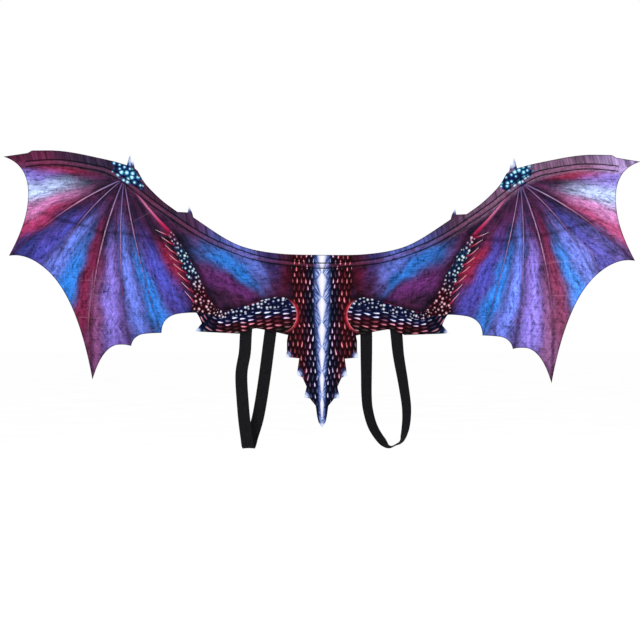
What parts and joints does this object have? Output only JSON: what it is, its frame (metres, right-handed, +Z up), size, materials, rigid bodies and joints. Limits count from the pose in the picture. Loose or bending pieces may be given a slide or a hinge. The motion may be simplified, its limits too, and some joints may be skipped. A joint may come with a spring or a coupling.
{
  "type": "costume dragon wings",
  "caption": "Cloth costume wings in the shape of a dragon's: a die-cut printed panel on a flexible rod, worn on the back by elastic arm loops.",
  "frame": {"origin": "on the panel's back face at its middle, where the rod channel crosses the yoke, the place that lies between the wearer's shoulder blades", "axes": "+X along the span, to the right as the printed face is seen, +Z up, +Y out of the back face towards the wearer; the printed face looks to -Y"},
  "size_m": [1.05, 0.0418, 0.4926],
  "materials": {
    "printed_cloth": "printed non-woven polyester, satin, wine and violet with blue glows",
    "casing_tape": "black polyester tape",
    "rod": "smooth flexible plastic rod",
    "elastic": "black ribbed woven elastic"
  },
  "bodies": {
    "root": {"wing_panel": "printed_cloth", "rod_casing": "casing_tape", "stiffening_rod": "rod", "arm_loop_left": "elastic", "arm_loop_right": "elastic"}
  },
  "joints": []
}
